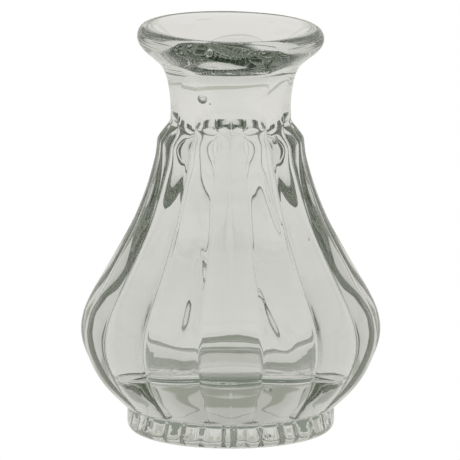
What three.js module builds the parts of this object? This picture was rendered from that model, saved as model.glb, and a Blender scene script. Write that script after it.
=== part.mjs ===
// Glass bud vase: one thick-walled piece of pressed glass. A hollow ring foot carries a squat,
// melon-lobed body that narrows to a short neck under a wide flange. A narrow mouth at the bottom
// of the flange's dished top opens into a flask-shaped cavity inside a thick wall and over a heavy
// solid base.
// Units are millimetres, +Z is up, the vase stands on z = 0 and its axis is the Z axis.
// One lobe points along -Y.

import * as THREE from 'three';

// ---- Driving dimensions ----

const HEIGHT = 105;

const FOOT_RADIUS = 26.6;
const FOOT_HEIGHT = 6.4;
const FOOT_EDGE_ROUND = 2.4;
const BEARING_RING_INNER = 20.5;
const BASE_RECESS = 6;

const BELLY_RADIUS = 38.6;
const BELLY_Z = 25.8;
const SHOULDER_RADIUS = 18.95;
const SHOULDER_Z = 75;

const NECK_RADIUS = 15.35;
const NECK_Z = 84;

const FLANGE_RADIUS = 23.9;
const FLANGE_Z = 102.3;
const FLANGE_TOP_OUTER = 22.4;
const FLANGE_TOP_INNER = 19.4;

const MOUTH_RADIUS = 9;
const MOUTH_Z = 99;
const BORE_RADIUS = 8.8;
const CAVITY_RADIUS = 22.8;
const CAVITY_WIDEST_Z = 26.2;
const CAVITY_FLOOR_Z = 17.9;

// Lobes: their count, and how far the valleys lie below the tips: (height, share of tip radius).
const LOBE_COUNT = 15;
const LOBE_FOOT_Z = 7;
const LOBE_TOP_Z = 81.5;
const VALLEY_DEPTHS = [
  [LOBE_FOOT_Z, 0],
  [12, 0.036],
  [60, 0.037],
  [68, 0.045],
  [72, 0.06],
  [77, 0.105],
  [79.1, 0.06],
  [LOBE_TOP_Z, 0],
];

const STEPS_PER_LOBE = 6;

// ---- Profile curves, as (radius, height) points ----

// A smooth curve through the given (radius, height) pairs, as a list of points.
function smooth(pairs, steps) {
  const points = pairs.map(([radius, height]) => new THREE.Vector2(radius, height));
  return new THREE.SplineCurve(points).getPoints(steps);
}

// Underside: a domed recess inside a flat bearing ring, then the rounded edge of the foot.
function undersideProfile() {
  const ringOuter = FOOT_RADIUS - FOOT_EDGE_ROUND;
  const edge = new THREE.EllipseCurve(
    ringOuter, FOOT_EDGE_ROUND, FOOT_EDGE_ROUND, FOOT_EDGE_ROUND, -Math.PI / 2, 0,
  );
  return [
    new THREE.Vector2(0, BASE_RECESS + 0.8),
    new THREE.Vector2(11, BASE_RECESS + 0.4),
    new THREE.Vector2(17, BASE_RECESS - 0.3),
    new THREE.Vector2(18.6, BASE_RECESS - 2.6),
    new THREE.Vector2(BEARING_RING_INNER - 0.9, 0.9),
    new THREE.Vector2(BEARING_RING_INNER, 0),
    ...edge.getPoints(3),
  ];
}

// Tips of the lobes, from the top of the foot over the belly up to the neck.
function bodyProfile() {
  return [
    new THREE.Vector2(FOOT_RADIUS, FOOT_HEIGHT - 0.6),
    new THREE.Vector2(FOOT_RADIUS - 0.4, FOOT_HEIGHT),
    ...smooth([
      [27.5, LOBE_FOOT_Z],
      [33.2, 12.8],
      [37.2, 19.6],
      [BELLY_RADIUS, BELLY_Z],
      [37.2, 32],
      [33.3, 39.6],
      [28.7, 47.7],
      [24.6, 55.6],
      [21.6, 63.4],
      [19.7, 70],
      [SHOULDER_RADIUS, SHOULDER_Z],
      [18.2, 77],
      [16.6, 79.1],
      [15.5, 80.9],
      [NECK_RADIUS, NECK_Z],
    ], 22),
  ];
}

// Neck and flange, from just above the narrowest point to the inner edge of the flange's top.
function flangeProfile() {
  return [
    ...smooth([
      [15.6, 87.8],
      [16.7, 92.6],
      [19.2, 96.5],
      [22.4, 99.2],
      [FLANGE_RADIUS, FLANGE_Z],
      [23.5, 104.1],
      [FLANGE_TOP_OUTER, HEIGHT],
    ], 8),
    new THREE.Vector2(FLANGE_TOP_INNER, HEIGHT),
  ];
}

// Inside: the dished top, the narrow mouth at its bottom, the bore, and the flask-shaped cavity
// that is widest just above its nearly flat floor.
function insideProfile() {
  return [
    ...smooth([
      [16.5, 103.2],
      [13, 101.5],
      [10.5, 100.2],
      [MOUTH_RADIUS, MOUTH_Z],
      [8.6, 97],
      [BORE_RADIUS, 90],
      [BORE_RADIUS, NECK_Z],
      [9.5, 76],
      [10.4, 70],
      [12.2, 60],
      [14.9, 50],
      [17.7, 40],
      [20.8, 32],
      [CAVITY_RADIUS, CAVITY_WIDEST_Z],
      [CAVITY_RADIUS - 0.2, CAVITY_WIDEST_Z - 4.6],
    ], 18),
    new THREE.Vector2(CAVITY_RADIUS - 1.8, CAVITY_FLOOR_Z + 1.7),
    new THREE.Vector2(CAVITY_RADIUS - 3.8, CAVITY_FLOOR_Z + 0.9),
    new THREE.Vector2(9, CAVITY_FLOOR_Z + 0.3),
    new THREE.Vector2(0, CAVITY_FLOOR_Z),
  ];
}

// ---- Lobes ----

// Depth of the valleys at a height, as a share of the tip radius.
function valleyDepth(z) {
  if (z <= LOBE_FOOT_Z || z >= LOBE_TOP_Z) return 0;
  const next = VALLEY_DEPTHS.findIndex(([height]) => height > z);
  const [lowZ, lowDepth] = VALLEY_DEPTHS[next - 1];
  const [highZ, highDepth] = VALLEY_DEPTHS[next];
  return THREE.MathUtils.mapLinear(z, lowZ, highZ, lowDepth, highDepth);
}

// Radius at an angle from a lobe's middle. Each lobe's section is a circular arc through its tip
// and its two valleys; at depth 0 the arcs join into a plain circle.
function lobedRadius(tip, depth, angle) {
  const halfLobe = Math.PI / LOBE_COUNT;
  const valley = tip * (1 - depth);
  const centre = (tip ** 2 - valley ** 2) / (2 * (tip - valley * Math.cos(halfLobe)));
  const arcRadius = tip - centre;
  return centre * Math.cos(angle) + Math.sqrt(arcRadius ** 2 - (centre * Math.sin(angle)) ** 2);
}

// ---- The vase ----

function vaseGeometry() {
  const underside = undersideProfile();
  const body = bodyProfile();
  const profile = [...underside, ...body, ...flangeProfile(), ...insideProfile()];
  const segments = LOBE_COUNT * STEPS_PER_LOBE;
  const geometry = new THREE.LatheGeometry(profile, segments);

  // The lathe lays its vertices out one whole profile per segment.
  const firstLobed = underside.length;
  const lastLobed = firstLobed + body.length - 1;
  const position = geometry.attributes.position;
  for (let i = 0; i < position.count; i += 1) {
    const row = i % profile.length;
    if (row < firstLobed || row > lastLobed) continue;
    const step = Math.floor(i / profile.length) % STEPS_PER_LOBE;
    const fromMiddle = Math.min(step, STEPS_PER_LOBE - step);
    const angle = (fromMiddle * 2 * Math.PI) / segments;
    const { x: tip, y: height } = profile[row];
    const scale = lobedRadius(tip, valleyDepth(height), angle) / tip;
    position.setX(i, position.getX(i) * scale);
    position.setZ(i, position.getZ(i) * scale);
  }
  geometry.rotateX(Math.PI / 2);
  return geometry;
}

const tintedGlass = new THREE.MeshStandardMaterial({
  color: 0xd3d8cf,
  roughness: 0.03,
  metalness: 0,
  transparent: true,
  opacity: 0.35,
});

const glassVase = new THREE.Mesh(vaseGeometry(), tintedGlass);
glassVase.name = 'glass_vase';

const vase = new THREE.Group();
vase.add(glassVase);

export default vase;
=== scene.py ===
"""Glass bud vase: one thick-walled piece of pressed glass on a plain white floor.

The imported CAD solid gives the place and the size. This script builds the fine surface in its place:
the smooth moulded lobes, the flutes in the foot's hollow, the mouth punched a little off the axis,
the uneven inside that a plunger leaves, and the seed bubbles in the glass. Profiles are
(radius, height) points in the vase's own millimetres, scaled by the CAD box's height. Angles round
the vase are counted from the front, -Y, towards +X.
"""

import math

import bpy
import numpy as np
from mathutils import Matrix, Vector, noise


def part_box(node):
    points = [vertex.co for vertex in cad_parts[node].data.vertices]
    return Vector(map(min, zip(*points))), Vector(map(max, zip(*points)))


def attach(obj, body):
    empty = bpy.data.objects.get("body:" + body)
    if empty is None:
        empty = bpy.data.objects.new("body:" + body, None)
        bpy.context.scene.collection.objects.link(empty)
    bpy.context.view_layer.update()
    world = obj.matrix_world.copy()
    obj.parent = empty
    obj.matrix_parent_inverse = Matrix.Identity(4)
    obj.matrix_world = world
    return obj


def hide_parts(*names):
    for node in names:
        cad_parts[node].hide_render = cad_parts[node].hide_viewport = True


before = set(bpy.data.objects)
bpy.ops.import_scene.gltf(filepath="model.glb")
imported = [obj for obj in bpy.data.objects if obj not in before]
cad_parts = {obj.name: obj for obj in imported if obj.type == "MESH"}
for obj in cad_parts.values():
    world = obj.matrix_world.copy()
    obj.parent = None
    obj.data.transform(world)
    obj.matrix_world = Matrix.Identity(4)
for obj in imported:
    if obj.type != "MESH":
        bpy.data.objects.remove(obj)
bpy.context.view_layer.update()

NODE = "glass_vase"
CAD_LOW, CAD_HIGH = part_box(NODE)

# ---- Driving dimensions, in millimetres ----

HEIGHT = 105.0
MM = (CAD_HIGH.z - CAD_LOW.z) / HEIGHT

FOOT_RADIUS = 26.6
FOOT_HEIGHT = 6.4
FOOT_EDGE_ROUND = 2.4
BEARING_RING_INNER = 20.5
BASE_RECESS = 6.0

NECK_RADIUS = 15.35
NECK_Z = 84.0
FLANGE_RADIUS = 23.9
FLANGE_TOP_OUTER = 22.4
FLANGE_TOP_INNER = 19.4
MOUTH_RADIUS = 9.0
MOUTH_Z = 99.0
BORE_RADIUS = 8.8
CAVITY_RADIUS = 22.8
CAVITY_WIDEST_Z = 26.2
CAVITY_FLOOR_Z = 17.9

# The mouth is punched a little to the back right and askew, with its back higher than its front.
# The shift fades out towards the flange's top and down the neck. The flange leans to the right.
MOUTH_OFFSET = (0.7, 1.0)
MOUTH_SKEW = 0.2
MOUTH_LEAN = 0.25
MOUTH_SHIFT_RADIUS = MOUTH_RADIUS + 1.5
MOUTH_SHIFT_Z = MOUTH_Z - 1
FLANGE_LEAN = 0.02
FLANGE_LEAN_START_Z = 94
FLANGE_LEAN_FULL_Z = 104

LOBE_COUNT = 15
STEPS_PER_LOBE = 28
STEPS_PER_SPAN = 6

# Depth of the valleys between the lobes, as a share of the tip radius, by height.
VALLEY_DEPTHS = [
    (6.9, 0.0), (7.3, 0.012), (8.4, 0.025), (10.5, 0.034), (16, 0.037), (60, 0.037),
    (68, 0.045), (72, 0.06), (75, 0.07), (77, 0.085), (78.05, 0.08), (79.1, 0.055), (80.1, 0.025),
    (80.9, 0.006), (82, 0.0),
]

# A fine crease along each valley: its depth and half width, and the valley depth at which the crease
# is full.
CREASE_DEPTH = 0.08
CREASE_HALF = 0.4
CREASE_FULL_AT = 0.03

# Flutes on the wall of the foot's hollow. They start on its roof, are deepest on the wall and run
# out at the bearing ring. Their spacing and depth sway round the foot: (size, waves round, phase).
FLUTE_COUNT = 22
FLUTE_DEPTH = 2.0
FLUTE_START_RADIUS = 13
FLUTE_FULL_RADIUS = 18
FLUTE_RUN_OUT = 0.6
FLUTE_SPACING_SWAYS = [(0.5, 5, 2.0), (0.4, 9, 1.0)]
FLUTE_MEAN_DEPTH = 0.75
FLUTE_DEPTH_SWAY = (0.45, 7, 0.8)

# Uneven glass: (depth, wave length across, wave length up, seed).
DRAWN_RIPPLES = (0.09, 4.5, 26, 5.0)
BROAD_SWELLS = (0.18, 13, 17, 23.0)
MOULD_RIPPLES = (0.035, 7, 12, 3.0)

# Inside, the unevenness fades in down the bore and out towards the middle of the floor.
EVEN_ABOVE_Z = 95
UNEVEN_BELOW_Z = 78
MOUTH_SHARE = 0.12
EVEN_FLOOR_RADIUS = 6
UNEVEN_FLOOR_RADIUS = 16
LEAST_WAVE_RADIUS = 9

# Marks the plunger left inside: degrees from the front towards +X, height, half width across,
# half height, lean in millimetres across per millimetre up, and depth into the cavity.
INSIDE_MARKS = [
    (-33, 32.0, 1.3, 4.2, 0.0, 0.8),
    (25, 41.0, 0.8, 6.0, -0.2, 0.8),
    (31, 30.5, 1.2, 4.0, -0.2, 0.8),
    (-27, 42.5, 0.7, 4.0, -0.1, 0.6),
    (44, 60.0, 0.7, 9.0, -0.05, 0.3),
]

# Seed bubbles in the glass: centre (x, y, z), then half sizes across and up. BUBBLE_EGG is how much
# their shape swells above the middle and narrows below it.
BUBBLES = [
    ((-6.7, -11.15, 88.6), 1.3, 1.25),
    ((-4.9, -12.3, 87.6), 0.3, 0.3),
    ((11.2, -11.6, 77.6), 0.8, 1.2),
    ((-11.3, -21.8, 2.7), 0.8, 0.7),
    ((9.2, -22.8, 3.1), 0.8, 0.7),
    ((9.4, -31.0, 17.5), 1.1, 0.7),
    ((19.0, -14.0, 52.0), 0.25, 0.5),
]
BUBBLE_EGG = 0.12

# ---- Profile curves ----


def smooth_curve(points, steps=STEPS_PER_SPAN):
    """A Catmull-Rom curve through the points, as an array of (radius, height)."""
    p = np.array(points, float)
    padded = np.vstack([p[:1], p, p[-1:]])
    rows = []
    for a, b, c, d in zip(padded, padded[1:], padded[2:], padded[3:]):
        for t in np.arange(steps) / steps:
            rows.append(0.5 * (2 * b + (c - a) * t + (2 * a - 5 * b + 4 * c - d) * t ** 2
                               + (3 * b - a - 3 * c + d) * t ** 3))
    rows.append(p[-1])
    return np.array(rows)


def underside_profile():
    """The foot's hollow inside the bearing ring, its rounded lower edge, and its shelf."""
    hollow = [(0, BASE_RECESS + 0.8), (6, BASE_RECESS + 0.7), (11, BASE_RECESS + 0.4),
              (15, BASE_RECESS), (17.0, BASE_RECESS - 0.3), (18.0, BASE_RECESS - 1.2),
              (18.6, BASE_RECESS - 2.6), (19.2, 2.0), (19.6, 0.9),
              (BEARING_RING_INNER - 0.4, 0.2), (BEARING_RING_INNER, 0)]
    centre = FOOT_RADIUS - FOOT_EDGE_ROUND
    edge = [(centre + FOOT_EDGE_ROUND * math.cos(a), FOOT_EDGE_ROUND * (1 + math.sin(a)))
            for a in np.linspace(-math.pi / 2, 0, 9)]
    shelf = [(FOOT_RADIUS, FOOT_HEIGHT - 2.0), (FOOT_RADIUS, FOOT_HEIGHT - 0.9),
             (FOOT_RADIUS - 0.12, FOOT_HEIGHT - 0.35), (FOOT_RADIUS - 0.45, FOOT_HEIGHT),
             (FOOT_RADIUS - 0.3, FOOT_HEIGHT + 0.25)]
    return np.array(hollow + edge + shelf)


def body_profile():
    """Tips of the lobes, from the top of the foot over the belly up to the neck."""
    return smooth_curve([
        (27.5, 7.0), (30.4, 9.8), (33.2, 12.8), (35.4, 16.0), (37.2, 19.6), (38.25, 22.8),
        (38.6, 25.8), (38.3, 28.7), (37.4, 31.8), (35.6, 35.6), (33.3, 39.6), (28.7, 47.7),
        (24.6, 55.6), (21.6, 63.4), (19.7, 70.0), (19.15, 73.0), (18.95, 75.0), (18.75, 76.0),
        (18.2, 77.0), (17.4, 78.05), (16.6, 79.1), (15.85, 80.1), (15.5, 80.9), (15.4, 82.0),
        (NECK_RADIUS, NECK_Z),
    ])


def flange_profile():
    """Neck, flange and the broad rounded top of the rim."""
    return smooth_curve([
        (NECK_RADIUS, NECK_Z), (15.6, 87.6), (16.3, 91.6), (17.6, 94.8), (19.8, 97.1), (22.2, 99.1),
        (23.6, 100.9), (FLANGE_RADIUS, 102.6), (23.4, 104.1), (FLANGE_TOP_OUTER, 104.95),
        (21.0, 105.0), (FLANGE_TOP_INNER, 104.7),
    ])[1:]


def inside_profile():
    """Dished top, narrow mouth, bore and the flask-shaped cavity down to its floor."""
    return smooth_curve([
        (FLANGE_TOP_INNER, 104.7), (16.5, 103.2), (13.0, 101.5), (10.5, 100.2),
        (MOUTH_RADIUS, MOUTH_Z), (8.6, 97), (BORE_RADIUS, 90), (BORE_RADIUS, NECK_Z), (9.5, 76),
        (10.4, 70), (12.2, 60), (14.9, 50), (17.7, 40), (20.8, 32),
        (CAVITY_RADIUS, CAVITY_WIDEST_Z), (22.6, 21.6), (21.0, 19.6), (19.0, 18.8), (9, 18.2),
        (0, CAVITY_FLOOR_Z),
    ])[1:]


def lobed_radius(tip, depth, angle):
    """Radius at an angle from a lobe's middle: each lobe is a circular arc between its valleys."""
    valley = tip * (1 - depth)
    centre = (tip ** 2 - valley ** 2) / (2 * (tip - valley * math.cos(math.pi / LOBE_COUNT)))
    arc = tip - centre
    return centre * np.cos(angle) + np.sqrt(arc ** 2 - (centre * np.sin(angle)) ** 2)


def smoothstep(x, low, high):
    """0 below low, 1 above high, and smooth between them."""
    t = np.clip((x - low) / (high - low), 0, 1)
    return t * t * (3 - 2 * t)


# ---- The glass ----


def waves(radius, turn, height, kind):
    """Smooth noise round and up the surface, of one of the kinds of uneven glass."""
    depth, across, up, seed = kind
    x = radius * np.sin(turn) / across
    y = radius * np.cos(turn) / across
    z = height / up
    out = np.empty(x.shape)
    for place in np.ndindex(x.shape):
        out[place] = noise.noise((x[place] + seed, y[place], z[place]))
    return depth * out


def sway(turn, size, waves_round, phase):
    """A wave round the vase, a whole number of times, so that it closes on itself."""
    return size * np.sin(waves_round * turn + phase)


def inside_shape(radius, turn, height):
    """Adds the uneven inner surface: drawn ripples, and the marks of the plunger."""
    in_cavity = smoothstep(-height, -EVEN_ABOVE_Z, -UNEVEN_BELOW_Z)
    above_floor = smoothstep(radius, EVEN_FLOOR_RADIUS, UNEVEN_FLOOR_RADIUS)
    wave_radius = np.maximum(radius, LEAST_WAVE_RADIUS)
    shift = waves(wave_radius, turn, height, DRAWN_RIPPLES)
    shift += waves(wave_radius, turn, height, BROAD_SWELLS)
    shift *= (MOUTH_SHARE + (1 - MOUTH_SHARE) * in_cavity) * above_floor
    for degrees, middle, half_across, half_up, lean, depth in INSIDE_MARKS:
        away = np.angle(np.exp(1j * (turn - math.radians(degrees)))) * radius
        away = away - lean * (height - middle)
        hump = np.exp(-(away / half_across) ** 2 - ((height - middle) / half_up) ** 4)
        shift = shift - depth * hump * above_floor
    return radius + shift


def flute_depths(radius, turn):
    """How far the flutes push the wall of the foot's hollow towards the axis."""
    spacing = sum(sway(turn, *wave) for wave in FLUTE_SPACING_SWAYS)
    flutes = 0.5 - 0.5 * np.cos(FLUTE_COUNT * turn + spacing)
    flutes = flutes * (FLUTE_MEAN_DEPTH + sway(turn, *FLUTE_DEPTH_SWAY))
    on_wall = smoothstep(radius, FLUTE_START_RADIUS, FLUTE_FULL_RADIUS)
    on_wall = on_wall * smoothstep(BEARING_RING_INNER - radius, 0, FLUTE_RUN_OUT)
    return FLUTE_DEPTH * flutes * on_wall


def vase_points():
    """Rows of points round the axis, from the middle of the underside to the cavity's floor."""
    sections = [underside_profile(), body_profile(), flange_profile(), inside_profile()]
    profile = np.vstack(sections)
    under, body, flange = (len(s) for s in sections[:3])
    first_inside = under + body + flange
    count = LOBE_COUNT * STEPS_PER_LOBE
    turn = np.arange(count) * 2 * math.pi / count
    step = np.arange(count) % STEPS_PER_LOBE
    from_middle = np.minimum(step, STEPS_PER_LOBE - step) * 2 * math.pi / count
    radius = np.repeat(profile[:, :1], count, 1)
    height = np.repeat(profile[:, 1:], count, 1)
    depths = np.array(VALLEY_DEPTHS)
    for row in range(under, under + body):
        depth = np.interp(profile[row, 1], depths[:, 0], depths[:, 1])
        tip = profile[row, 0]
        from_valley = (math.pi / LOBE_COUNT - from_middle) * tip
        crease = CREASE_DEPTH * min(1, depth / CREASE_FULL_AT)
        crease = crease * np.exp(-(from_valley / CREASE_HALF) ** 2)
        radius[row] = lobed_radius(tip, depth, from_middle) - crease
    every_turn = np.repeat(turn[None], len(profile), 0)

    radius[:under] -= flute_depths(radius[:under], turn)
    outside = slice(under, first_inside)
    radius[outside] += waves(
        radius[outside], every_turn[outside], height[outside], MOULD_RIPPLES)
    inside = slice(first_inside, None)
    radius[inside] = inside_shape(radius[inside], every_turn[inside], height[inside])

    x = radius * np.sin(every_turn)
    y = -radius * np.cos(every_turn)
    rows = np.arange(len(profile))[:, None]
    near_mouth = smoothstep(-radius, -FLANGE_TOP_INNER, -MOUTH_SHIFT_RADIUS)
    near_mouth = near_mouth * smoothstep(height, NECK_Z, MOUTH_SHIFT_Z) * (rows >= first_inside)
    x += (MOUTH_OFFSET[0] + MOUTH_SKEW * y) * near_mouth
    y += MOUTH_OFFSET[1] * near_mouth
    height = height + MOUTH_LEAN * y * near_mouth
    on_flange = smoothstep(height, FLANGE_LEAN_START_Z, FLANGE_LEAN_FULL_Z)
    height = height - FLANGE_LEAN * x * on_flange
    return np.stack([x, y, height], -1)


def lathe_mesh(rows):
    """Points and faces of a closed skin, with the first and the last row closed to one point."""
    count = rows.shape[1]
    middle = rows[1:-1].reshape(-1, 3)
    points = [rows[0, 0], *middle, rows[-1, 0]]
    ring = 1 + np.arange(len(middle)).reshape(-1, count)
    ahead = np.roll(ring, -1, axis=1)
    last = len(points) - 1
    faces = [(0, int(b), int(a)) for a, b in zip(ring[0], ahead[0])]
    faces += [(last, int(a), int(b)) for a, b in zip(ring[-1], ahead[-1])]
    sides = np.stack([ring[:-1], ahead[:-1], ahead[1:], ring[1:]], -1).reshape(-1, 4)
    faces += [tuple(int(i) for i in side) for side in sides]
    return points, faces


def bubble_mesh(centre, across, up, around=24, levels=14):
    """Points and faces of an egg-shaped void, whose faces look into it, away from the glass."""
    rows = []
    for tilt in np.linspace(0, math.pi, levels + 1):
        wide = across * math.sin(tilt) * (1 + BUBBLE_EGG * math.cos(tilt))
        turn = np.arange(around) * 2 * math.pi / around
        flat = np.full(around, up * math.cos(tilt))
        rows.append(np.stack([wide * np.sin(turn), -wide * np.cos(turn), flat], -1))
    return lathe_mesh(np.array(rows) + np.array(centre))


def make_vase():
    """One closed skin of glass, with the bubbles as closed voids inside it."""
    points, faces = lathe_mesh(vase_points())
    for centre, across, up in BUBBLES:
        more, sides = bubble_mesh(centre, across, up)
        faces += [tuple(i + len(points) for i in side) for side in sides]
        points += more
    mesh = bpy.data.meshes.new("pressed_glass_vase")
    mesh.from_pydata([tuple(p * MM) for p in points], [], faces)
    mesh.update()
    mesh.polygons.foreach_set("use_smooth", [True] * len(mesh.polygons))
    vase = bpy.data.objects.new("pressed_glass_vase", mesh)
    bpy.context.scene.collection.objects.link(vase)
    return vase


# ---- Materials ----

GLASS_IOR = 1.5
TINT = (0.885, 0.892, 0.878)
TINT_DENSITY = 57.0

# The bearing ring's wear: its height in millimetres, its roughness, and the size of its scratches.
WEAR_HEIGHT = 0.35
WEAR_ROUGHNESS = 0.35
WEAR_SCALE = 900
WEAR_DETAIL = 3

# The fire-polished skin's faint waviness: its size, detail, strength and height in millimetres.
SKIN_SCALE = 160
SKIN_DETAIL = 2
SKIN_STRENGTH = 0.6
SKIN_HEIGHT = 0.03


def add_noise(nodes, links, vector, scale, detail):
    """A noise texture's value at the given vector."""
    texture = nodes.new("ShaderNodeTexNoise")
    texture.inputs["Scale"].default_value = scale
    texture.inputs["Detail"].default_value = detail
    links.new(vector, texture.inputs["Vector"])
    return texture.outputs[0]


def glass_material():
    """Clear pressed glass with a faint green tint, dulled only where the bearing ring is worn."""
    material = bpy.data.materials.new("pressed_glass")
    material.use_nodes = True
    nodes, links = material.node_tree.nodes, material.node_tree.links
    shader = nodes["Principled BSDF"]
    shader.inputs["Base Color"].default_value = (1, 1, 1, 1)
    shader.inputs["IOR"].default_value = GLASS_IOR
    shader.inputs["Transmission Weight"].default_value = 1.0
    tint = nodes.new("ShaderNodeVolumeAbsorption")
    tint.inputs["Color"].default_value = (*TINT, 1)
    tint.inputs["Density"].default_value = TINT_DENSITY
    links.new(tint.outputs["Volume"], nodes["Material Output"].inputs["Volume"])

    where = nodes.new("ShaderNodeTexCoord")
    place = nodes.new("ShaderNodeSeparateXYZ")
    links.new(where.outputs["Object"], place.inputs[0])
    worn = nodes.new("ShaderNodeMapRange")
    worn.inputs["From Min"].default_value = 0.0
    worn.inputs["From Max"].default_value = WEAR_HEIGHT * MM
    worn.inputs["To Min"].default_value = WEAR_ROUGHNESS
    worn.inputs["To Max"].default_value = 0.0
    links.new(place.outputs["Z"], worn.inputs["Value"])
    scratches = add_noise(nodes, links, where.outputs["Object"], WEAR_SCALE, WEAR_DETAIL)
    patchy = nodes.new("ShaderNodeMath")
    patchy.operation = "MULTIPLY"
    links.new(worn.outputs[0], patchy.inputs[0])
    links.new(scratches, patchy.inputs[1])
    links.new(patchy.outputs[0], shader.inputs["Roughness"])

    skin = add_noise(nodes, links, where.outputs["Object"], SKIN_SCALE, SKIN_DETAIL)
    bump = nodes.new("ShaderNodeBump")
    bump.inputs["Strength"].default_value = SKIN_STRENGTH
    bump.inputs["Distance"].default_value = SKIN_HEIGHT * MM
    links.new(skin, bump.inputs["Height"])
    links.new(bump.outputs[0], shader.inputs["Normal"])
    return material


def floor_material(name, colour):
    """A flat glowing colour, as bright in one place as in another: paper under an even light, or a
    painted shadow.
    """
    material = bpy.data.materials.new(name)
    material.use_nodes = True
    shader = material.node_tree.nodes["Principled BSDF"]
    shader.inputs["Base Color"].default_value = (0, 0, 0, 1)
    shader.inputs["Roughness"].default_value = 1.0
    shader.inputs["Specular IOR Level"].default_value = 0.0
    shader.inputs["Emission Color"].default_value = (*colour, 1)
    shader.inputs["Emission Strength"].default_value = 1.0
    return material


# ---- Studio ----

# The camera: degrees above the horizon, metres away, the height it looks at and the width it sees
# there in millimetres, its shift to the side, and its sensor's width.
CAMERA_ELEVATION = 11.5
CAMERA_DISTANCE = 3.0
AIM_HEIGHT = 52.0
VIEW_WIDTH = 117.95
SIDE_SHIFT = -0.0015
SENSOR_WIDTH = 36

# The floor's side in metres, and the painted shadow under the foot: a dark disc as wide as the
# bearing ring. Each lies a hair below the vase, in millimetres.
FLOOR_SIZE = 40
FLOOR_GAP = 0.02
PAINTED_SHADOW_RADIUS = FOOT_RADIUS - FOOT_EDGE_ROUND
PAINTED_SHADOW_GAP = 0.01
# Painted shadow: the dark colour of the disc under the foot, standing in for the shade the vase
# casts.
PAINTED_SHADOW_COLOUR = (0.24, 0.27, 0.22)

# Light that reaches the glass from the white room and from the floor. The floor's takes over as the
# direction's z falls from the first to the second value of its fade.
ROOM_LIGHT = (0.777, 0.765, 0.739)
FLOOR_LIGHT = (0.82, 0.81, 0.785)
FLOOR_FADE = (-0.5, -0.85)

# Darker cards that outline the glass: the direction towards each from the vase, its full and faded
# half angles in degrees, and its colour.
CARDS = [
    ((0, -1, 0.1), 34, 64, (0.50, 0.53, 0.47)),
    ((0, -0.35, -1), 28, 50, (0.035, 0.055, 0.032)),
]

# A darker strip round the horizon, where the table ends: its middle, half height and fade, in
# degrees.
STRIP_ELEVATION = 15.0
STRIP_HALF = 2.8
STRIP_FADE = 1.6
STRIP_COLOUR = (0.52, 0.53, 0.47)


def make_camera():
    """A long lens in front of the vase and a little above it, looking at its middle."""
    data = bpy.data.cameras.new("camera")
    camera = bpy.data.objects.new("camera", data)
    bpy.context.scene.collection.objects.link(camera)
    bpy.context.scene.camera = camera
    tilt = math.radians(CAMERA_ELEVATION)
    camera.location = (0, -CAMERA_DISTANCE * math.cos(tilt),
                       AIM_HEIGHT * MM + CAMERA_DISTANCE * math.sin(tilt))
    camera.rotation_euler = (math.pi / 2 - tilt, 0, 0)
    data.sensor_width = SENSOR_WIDTH
    data.lens = data.sensor_width * CAMERA_DISTANCE / (VIEW_WIDTH * MM)
    data.shift_x = SIDE_SHIFT
    data.clip_end = 100


def make_floor():
    """White paper that the glass doesn't see, so that it doesn't hide the light from below."""
    bpy.ops.mesh.primitive_plane_add(
        size=FLOOR_SIZE, location=(0, 0, CAD_LOW.z - FLOOR_GAP * MM))
    floor = bpy.context.object
    floor.name = "floor"
    floor.data.materials.append(floor_material("white_paper", (1, 1, 1)))
    floor.visible_transmission = False
    floor.visible_glossy = False


def make_painted_shadow():
    """The painted shadow under the foot: a dark glowing disc in place of the vase's shade, seen only
    through the glass.
    """
    bpy.ops.mesh.primitive_circle_add(
        vertices=96, radius=PAINTED_SHADOW_RADIUS * MM, fill_type="NGON",
        location=(0, 0, CAD_LOW.z - PAINTED_SHADOW_GAP * MM))
    shade = bpy.context.object
    shade.name = "painted_floor_shadow"
    shade.data.materials.append(floor_material("painted_shadow_paper", PAINTED_SHADOW_COLOUR))


def blend_colour(nodes, links, amount, under, colour):
    """The colour laid over the one under it, by the amount."""
    mix = nodes.new("ShaderNodeMix")
    mix.data_type = "RGBA"
    links.new(amount, mix.inputs[0])
    if isinstance(under, tuple):
        mix.inputs[6].default_value = (*under, 1)
    else:
        links.new(under, mix.inputs[6])
    mix.inputs[7].default_value = (*colour, 1)
    return mix.outputs[2]


def fade(nodes, links, value, off, full):
    """0 where the value is off, 1 where it is full, and smooth between them."""
    ramp = nodes.new("ShaderNodeMapRange")
    ramp.interpolation_type = "SMOOTHSTEP"
    ramp.inputs["From Min"].default_value = off
    ramp.inputs["From Max"].default_value = full
    links.new(value, ramp.inputs["Value"])
    return ramp.outputs[0]


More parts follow.
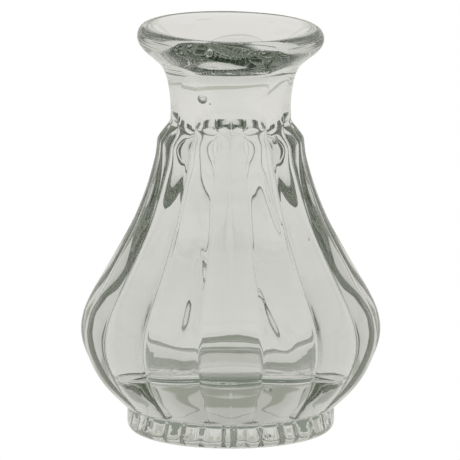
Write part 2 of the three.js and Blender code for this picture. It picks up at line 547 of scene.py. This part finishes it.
def make_world():
    """White to the camera; to the glass, a soft grey room, its horizon strip and the dark cards."""
    world = bpy.data.worlds.new("studio")
    bpy.context.scene.world = world
    world.use_nodes = True
    nodes, links = world.node_tree.nodes, world.node_tree.links
    nodes.clear()
    where = nodes.new("ShaderNodeTexCoord")
    place = nodes.new("ShaderNodeSeparateXYZ")
    links.new(where.outputs["Generated"], place.inputs[0])

    off_strip = nodes.new("ShaderNodeMath")
    off_strip.operation = "SUBTRACT"
    off_strip.inputs[1].default_value = math.sin(math.radians(STRIP_ELEVATION))
    links.new(place.outputs["Z"], off_strip.inputs[0])
    distance = nodes.new("ShaderNodeMath")
    distance.operation = "ABSOLUTE"
    links.new(off_strip.outputs[0], distance.inputs[0])
    on_strip = fade(nodes, links, distance.outputs[0],
                    math.sin(math.radians(STRIP_HALF + STRIP_FADE)),
                    math.sin(math.radians(STRIP_HALF)))
    on_floor = fade(nodes, links, place.outputs["Z"], *FLOOR_FADE)
    colour = blend_colour(nodes, links, on_floor, ROOM_LIGHT, FLOOR_LIGHT)
    colour = blend_colour(nodes, links, on_strip, colour, STRIP_COLOUR)

    for toward, full, faded, card_colour in CARDS:
        dot = nodes.new("ShaderNodeVectorMath")
        dot.operation = "DOT_PRODUCT"
        dot.inputs[1].default_value = Vector(toward).normalized()
        links.new(where.outputs["Generated"], dot.inputs[0])
        on_card = fade(nodes, links, dot.outputs["Value"],
                       math.cos(math.radians(faded)), math.cos(math.radians(full)))
        colour = blend_colour(nodes, links, on_card, colour, card_colour)

    output = nodes.new("ShaderNodeOutputWorld")
    sweep = nodes.new("ShaderNodeBackground")
    sweep.inputs["Color"].default_value = (1, 1, 1, 1)
    studio = nodes.new("ShaderNodeBackground")
    links.new(colour, studio.inputs["Color"])
    path = nodes.new("ShaderNodeLightPath")
    mix = nodes.new("ShaderNodeMixShader")
    links.new(path.outputs["Is Camera Ray"], mix.inputs[0])
    links.new(studio.outputs[0], mix.inputs[1])
    links.new(sweep.outputs[0], mix.inputs[2])
    links.new(mix.outputs[0], output.inputs["Surface"])


make_camera()
make_floor()
make_painted_shadow()
make_world()

# Light crosses many surfaces inside thick glass before it leaves.
scene = bpy.context.scene
scene.view_settings.view_transform = "Standard"
scene.cycles.max_bounces = 64
scene.cycles.transmission_bounces = 64
scene.cycles.glossy_bounces = 32
scene.cycles.transparent_max_bounces = 64
scene.cycles.blur_glossy = 0

vase = make_vase()
vase.data.materials.append(glass_material())
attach(vase, "root")
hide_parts(NODE)
